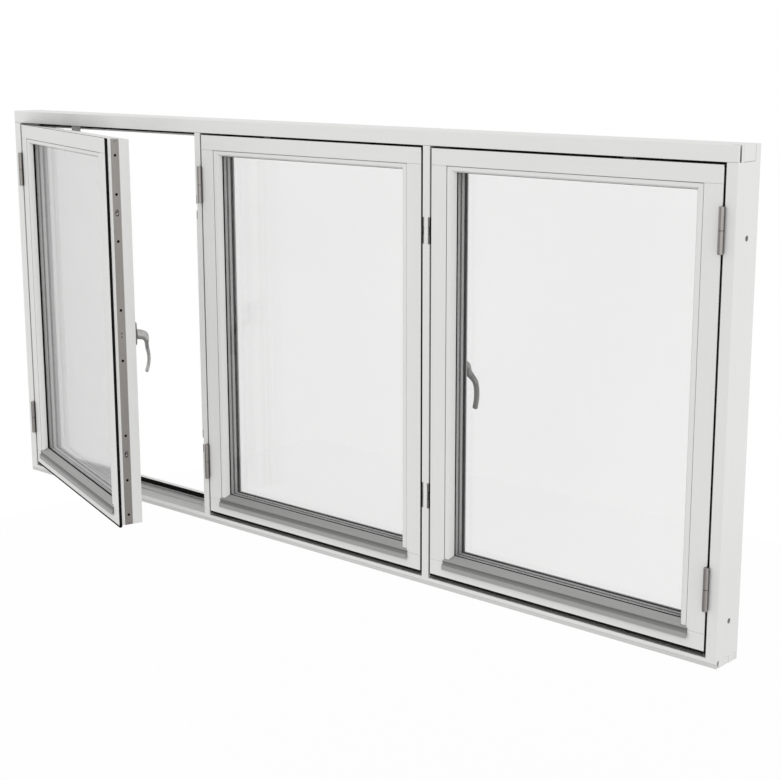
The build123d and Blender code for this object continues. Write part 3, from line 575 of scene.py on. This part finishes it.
def lip(depth, half, out, root, power=1):
    """A lip's section: a half round that stands out from the edge, on a root sunk into its groove."""
    arch = half_round(depth, half, 0, out, power)[:, ::-1]
    return np.array([(-root, depth - half), *arch, (-root, depth + half)])


def length_of(section, upright, edge, way, start, end):
    """A straight length of seal with closed ends, its insets measured from an edge in a way, as rows."""
    rows = []
    for station, size in ((start, 0), (start, 1), (end, 1), (end, 0)):
        inset, depth = (section * size + section.mean(axis=0) * (1 - size)).T
        place = np.full(len(section), station)
        row = [edge + way * inset, depth, place] if upright else [place, depth, edge + way * inset]
        rows.append(np.stack(row, axis=-1))
    return rows


free = lip(FREE_AT, FREE_HALF, -FREE_OUT, -EDGE_ROOT, EDGE_POWER)
pressed = lip(PRESSED_AT, PRESSED_HALF, -PRESSED_OUT, -EDGE_ROOT, EDGE_POWER)
for light in LIGHTS:
    rings = []
    for near, far in ((pane_front - OUTER_SEAL, pane_front), (pane_back, pane_back + INNER_SEAL)):
        rings.append(mitred_ring(lip((near + far) / 2, (far - near) / 2, LIP_OUT, LIP_ROOT), *sight))
    sides = free if light == "left" else pressed
    low, high = sash_foot - EDGE_DROP, sash_top - FREE_OUT
    lengths = [
        length_of(sides, True, 0, 1, low, high),
        length_of(sides, True, sash_width, -1, low, high),
        length_of(free, False, low, 1, 0, sash_width),
        length_of(free, False, high, -1, 0, sash_width),
    ]
    kinds = (("glazing_lips", np.array(rings), True), ("edge_seals", np.array(lengths), False))
    for name, grids, looped in kinds:
        lips = skin_over(f"{light}_{name}", hung(light, grids), round_rows=looped, round_columns=True)
        lips.data.materials.append(black_rubber)
        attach(lips, f"{light}_sash")
        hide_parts(f"{light}_seals")

# Lock faceplate. A zinc-plated steel strip with two latch openings is let into the lock edge, and held
# by small blackened screws with a cross recess.
SCREW_HEIGHTS = (0.059, 0.153, 0.273, 0.472, 0.604, 0.781, 0.900, 0.998)
SCREW_RADIUS = 0.0035
PAIR_HEIGHTS, PAIR_RADIUS = (0.5344, 0.5436), 0.0017
END_HEIGHTS = (0.038, 1.0345)
SCREW_PROUD = 0.0009
SCREW_BLACK = (0.004, 0.004, 0.004, 1)
RECESS_DEPTH = 0.0006
RECESS_ARM = 0.2
RECESS_REACH = 0.65
FACEPLATE_AT = 0.027
LOCK_BEVEL, BEVEL_START = 0.0035, 0.008
screw_black = moulded("blackened_screws", SCREW_BLACK, 0.7, 0.3)
slope = LOCK_BEVEL / (sash_depth - BEVEL_START)
out = np.array((1, slope, 0)) / np.hypot(1, slope)
across = np.array((-slope, 1, 0)) / np.hypot(1, slope)


def screw_heads(heights, radius):
    """Domed heads with a cross sunk into each: the rise falls with the square of the radius, and a sharp
    step sinks the points that lie in one of the two arms. The underside is flat."""
    share = np.linspace(0, 1, 10).reshape(-1, 1)
    swing = np.linspace(0, 2 * np.pi, ROUND_STEPS, endpoint=False).reshape(1, -1)
    u, v = share * np.cos(swing), share * np.sin(swing)
    inside = (np.minimum(abs(u), abs(v)) < RECESS_ARM) & (np.maximum(abs(u), abs(v)) < RECESS_REACH)
    rise = SCREW_PROUD * (4 / 3 - share**2) - np.where(inside, RECESS_DEPTH, 0)
    u, v = (np.concatenate([part, part[-1:], np.zeros_like(part[:1])]) * radius for part in (u, v))
    floor = -np.full_like(u[:1], RECESS_DEPTH)
    rise = np.concatenate([rise, floor, floor])
    head = u[..., None] * across + v[..., None] * np.cross(out, across) + rise[..., None] * out
    edge = sash_width - slope * (FACEPLATE_AT - BEVEL_START)
    centres = [(edge, FACEPLATE_AT, z) for z in heights]
    return np.array(centres)[:, None, None, :] + head


large = screw_heads(SCREW_HEIGHTS, SCREW_RADIUS)
small = screw_heads(PAIR_HEIGHTS, PAIR_RADIUS)
bright = screw_heads(END_HEIGHTS, SCREW_RADIUS)
for light in LIGHTS:
    dress(zinc, f"{light}_faceplate")
    dark = np.concatenate([large, small])
    fixings = (("faceplate_screws", dark, screw_black), ("end_screws", bright, zinc))
    for name, heads, finish in fixings:
        screws = skin_over(f"{light}_{name}", hung(light, heads), round_columns=True)
        screws.data.materials.append(finish)
        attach(screws, f"{light}_sash")

# Handles. A die-cast lever on a rounded rose: its neck droops from the rose, bends at a round shoulder
# and hangs down as a bowed grip that curls back to the sash at its tip. The finish is satin grey.
HANDLE_GREY = (0.60, 0.595, 0.585, 1)
NECK_BACK = ((0.0015, 0.011), (0.017, 0.0080), (0.0335, 0.0050), (0.0348, -0.009))
GRIP_BACK = ((0.0348, -0.009), (0.0365, -0.040), (0.0545, -0.062), (0.0380, -0.1085))
NECK_FRONT = ((0.0015, -0.017), (0.012, -0.0180), (0.0220, -0.0175), (0.0245, -0.026))
GRIP_FRONT = ((0.0245, -0.026), (0.0305, -0.048), (0.0465, -0.064), (0.0310, -0.1060))
NECK_HALF_WIDTH, TIP_HALF_WIDTH = 0.0092, 0.0072
CRANK, CRANK_SHARE, LEAN = 0.0165, 0.42, 0.0025
ROSE_GREY = (0.22, 0.22, 0.215, 1)
HANDLE_DULLNESS, ROSE_DULLNESS = 0.24, 0.36
COLLAR_RADIUS, COLLAR_EASE, COLLAR_REACH, COLLAR_DROP = 0.0128, 0.0006, 0.0022, 0.003
SECTION_POWER = 0.85
LEVER_ROWS = 34
TIP_ROWS = 12
LEVER_STEPS = 40
rose_low, rose_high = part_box("middle_handle_rose")
handle_from_hinge = (rose_low.x + rose_high.x) / 2 - sash_low.x
handle_height = (rose_low.z + rose_high.z) / 2
rose_face = rose_high.y - outside


def bezier(points, t):
    """The cubic curve through the first and last of four points, drawn towards the other two."""
    a, b, c, d = np.array(points)
    t = t.reshape(-1, 1)
    return a * (1 - t) ** 3 + 3 * b * t * (1 - t) ** 2 + 3 * c * t**2 * (1 - t) + d * t**3


def rounded(swing):
    """The sine and cosine of an oval, drawn out towards its corners by a power under one."""
    c, s = np.cos(swing), np.sin(swing)
    return np.sign(c) * abs(c) ** SECTION_POWER, np.sign(s) * abs(s) ** SECTION_POWER


def lever_shape():
    """The lever's surface: rounded oval sections stretched between its back line and its front line.

    The grip is cranked aside by a smooth step over its upper part, and the last rows close over the tip,
    where both half sizes shrink as a quarter circle."""
    t = np.linspace(0, 1, LEVER_ROWS)
    back = np.concatenate([bezier(NECK_BACK, t), bezier(GRIP_BACK, t)[1:]])
    front = np.concatenate([bezier(NECK_FRONT, t), bezier(GRIP_FRONT, t)[1:]])
    middle, half = (back + front) / 2, (back - front) / 2
    width = np.linspace(NECK_HALF_WIDTH, TIP_HALF_WIDTH, len(middle))
    along = np.clip(t / CRANK_SHARE, 0, 1)
    aside = CRANK * along**2 * (3 - 2 * along) + LEAN * t
    aside = -np.concatenate([t * 0, aside[1:]])
    close = np.linspace(0, np.pi / 2, TIP_ROWS)[1:]
    onward = middle[-1] - middle[-2]
    onward = onward / np.linalg.norm(onward) * np.linalg.norm(half[-1])
    middle = np.concatenate([middle[:1], middle, middle[-1] + np.sin(close)[:, None] * onward])
    half = np.concatenate([half[:1] * 0, half, np.cos(close)[:, None] * half[-1]])
    width = np.concatenate([[0], width, np.cos(close) * width[-1]])
    aside = np.concatenate([aside[:1], aside, np.full(len(close), aside[-1])])
    c, s = rounded(np.linspace(0, 2 * np.pi, LEVER_STEPS, endpoint=False))
    x = aside[:, None] + width[:, None] * s
    depth = middle[:, :1] + half[:, :1] * c
    height = middle[:, 1:] + half[:, 1:] * c
    return np.stack([handle_from_hinge + x, rose_face + depth, handle_height + height], axis=-1)


collar_radii = (0, COLLAR_RADIUS, COLLAR_RADIUS, COLLAR_RADIUS - COLLAR_EASE, 0)
collar_heights = (0, 0, COLLAR_REACH - COLLAR_EASE, COLLAR_REACH, COLLAR_REACH)
collar_at = (handle_from_hinge, rose_face, handle_height - COLLAR_DROP)
rose_grey = metal("rose_grey", ROSE_GREY, ROSE_DULLNESS, (0, radians(90), 0))
handle_grey = metal("satin_handle_grey", HANDLE_GREY, HANDLE_DULLNESS, (0, radians(90), 0))
for light in LIGHTS:
    dress(rose_grey, f"{light}_handle_rose")
    lever = skin_over(f"{light}_lever", hung(light, lever_shape()[None]), round_columns=True)
    lever.data.materials.append(handle_grey)
    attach(lever, f"{light}_handle")
    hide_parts(f"{light}_handle")
    collar = turned_about(collar_at, (0, 1, 0), (1, 0, 0), collar_radii, collar_heights)
    collar = skin_over(f"{light}_collar", hung(light, collar[None]), round_columns=True)
    collar.data.materials.append(rose_grey)
    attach(collar, f"{light}_handle")

# Studio. A white floor lies at the foot of the wall the window would stand in, a soft dome lights all
# sides almost alike, and a wide, weak lamp stands at the left. The background is white, and what the panes
# mirror is duller than that.
FLOOR_AT = -0.95
FLOOR_HALF = 3.5
FLOOR_PAINT = (0.90, 0.90, 0.90, 1)
DOME_LEVEL, DOME_RISE, DOME_RIGHT = 0.90, 0.05, 0.12
REFLECTED_LOW, REFLECTED_LEFT = 0.36, 0.62
FLOOR_WHITE = 0.93
LAMP_AT = (-4.5, -3.2, 2.2)
LAMP_SIZE = 3.0
LAMP_WATTS = 16
floor_mesh = bpy.data.meshes.new("floor")
corners = [(x * FLOOR_HALF, y * FLOOR_HALF, FLOOR_AT) for x, y in ((-1, -1), (1, -1), (1, 1), (-1, 1))]
floor_mesh.from_pydata(corners, [], [(0, 1, 2, 3)])
floor = bpy.data.objects.new("floor", floor_mesh)
bpy.context.scene.collection.objects.link(floor)
floor_paint, tree, shader = new_finish("floor_paint", Base_Color=FLOOR_PAINT, Roughness=0.9)


def seen_straight(tree):
    """One for a ray from the camera, also on through panes, and nought for one that a pane sent back."""
    path = node_in(tree, "ShaderNodeLightPath").outputs
    direct = {0: path["Is Camera Ray"], 1: path["Is Transmission Ray"]}
    direct = node_in(tree, "ShaderNodeMath", direct, operation="MAXIMUM").outputs[0]
    turns = node_in(tree, "ShaderNodeMath", {0: path["Glossy Depth"], 1: 2}, operation="MODULO").outputs[0]
    unturned = node_in(tree, "ShaderNodeMath", {0: turns, 1: 0.5}, operation="LESS_THAN").outputs[0]
    return node_in(tree, "ShaderNodeMath", {0: direct, 1: unturned}, operation="MULTIPLY").outputs[0]


white = node_in(tree, "ShaderNodeEmission", {"Color": (1, 1, 1, 1), "Strength": 1.0})
mostly = node_in(tree, "ShaderNodeMath", {0: seen_straight(tree), 1: FLOOR_WHITE}, operation="MULTIPLY")
either = {0: mostly.outputs[0], 1: shader.outputs[0], 2: white.outputs[0]}
either = node_in(tree, "ShaderNodeMixShader", either).outputs[0]
dull = node_in(tree, "ShaderNodeEmission", {"Color": (1, 1, 1, 1), "Strength": REFLECTED_LOW}).outputs[0]
sent_back = node_in(tree, "ShaderNodeLightPath").outputs["Is Glossy Ray"]
sent_back = {0: sent_back, 1: seen_straight(tree)}
sent_back = node_in(tree, "ShaderNodeMath", sent_back, operation="GREATER_THAN").outputs[0]
either = node_in(tree, "ShaderNodeMixShader", {0: sent_back, 1: either, 2: dull})
tree.links.new(either.outputs[0], tree.nodes["Material Output"].inputs["Surface"])
floor_mesh.materials.append(floor_paint)

world = bpy.data.worlds.new("studio")
bpy.context.scene.world = world
world.use_nodes = True
tree = world.node_tree
tree.nodes.clear()
direction = node_in(tree, "ShaderNodeTexCoord").outputs["Generated"]
axes = node_in(tree, "ShaderNodeSeparateXYZ", {0: direction}).outputs
path = node_in(tree, "ShaderNodeLightPath").outputs


def over(value, near, far, low, high, smooth=False):
    """A value mapped from one range to another, in a straight line or a smooth step."""
    values = {"Value": value, "From Min": near, "From Max": far, "To Min": low, "To Max": high}
    kind = "SMOOTHSTEP" if smooth else "LINEAR"
    return node_in(tree, "ShaderNodeMapRange", values, interpolation_type=kind).outputs[0]


def lit(strength):
    """A white background of a strength."""
    return node_in(tree, "ShaderNodeBackground", {"Color": (1, 1, 1, 1), "Strength": strength}).outputs[0]


def either_of(factor, first, second):
    """The first shader, or where the factor is one the second."""
    return node_in(tree, "ShaderNodeMixShader", {0: factor, 1: first, 2: second}).outputs[0]


level = over(axes["Z"], -1, 1, DOME_LEVEL - DOME_RISE, DOME_LEVEL + DOME_RISE)
level = node_in(tree, "ShaderNodeMath", {0: level, 1: over(axes["X"], -1, 1, -DOME_RIGHT, DOME_RIGHT)})
above = over(axes["Z"], -0.15, 0.45, REFLECTED_LOW, 1, smooth=True)
beside = over(axes["X"], -0.2, 0.5, REFLECTED_LOW, 1, smooth=True)
far_left = over(axes["X"], -0.7, -0.97, REFLECTED_LOW, REFLECTED_LEFT, smooth=True)
mirrored = node_in(tree, "ShaderNodeMath", {0: above, 1: beside}, operation="MAXIMUM")
mirrored = node_in(tree, "ShaderNodeMath", {0: mirrored.outputs[0], 1: far_left}, operation="MAXIMUM")
around = either_of(path["Is Glossy Ray"], lit(level.outputs[0]), lit(mirrored.outputs[0]))
sky = either_of(seen_straight(tree), around, lit(1.0))
tree.links.new(sky, node_in(tree, "ShaderNodeOutputWorld").inputs["Surface"])

lamp_data = bpy.data.lights.new("left_lamp", "AREA")
lamp_data.size = LAMP_SIZE
lamp_data.energy = LAMP_WATTS
lamp = bpy.data.objects.new("left_lamp", lamp_data)
bpy.context.scene.collection.objects.link(lamp)
lamp.location = LAMP_AT
lamp.rotation_euler = (-lamp.location).to_track_quat("-Z", "Y").to_euler()

# Camera. It stands in front of the window's right end, a little above its head, and looks down along it.
# Its long lens keeps the window's upright edges almost upright.
CAMERA_AT = (2.7707, -2.8078, 1.2809)
HEADING, TILT, ROLL = radians(42.010), radians(77.602), radians(-0.089)
LENS, SENSOR = 73.61, 36
camera_data = bpy.data.cameras.new("camera")
camera_data.lens = LENS
camera_data.sensor_width = SENSOR
camera = bpy.data.objects.new("camera", camera_data)
bpy.context.scene.collection.objects.link(camera)
turn = Matrix.Rotation(HEADING, 4, "Z") @ Matrix.Rotation(TILT, 4, "X") @ Matrix.Rotation(ROLL, 4, "Z")
camera.matrix_world = Matrix.Translation(CAMERA_AT) @ turn
bpy.context.scene.camera = camera
bpy.context.scene.view_settings.view_transform = "Standard"
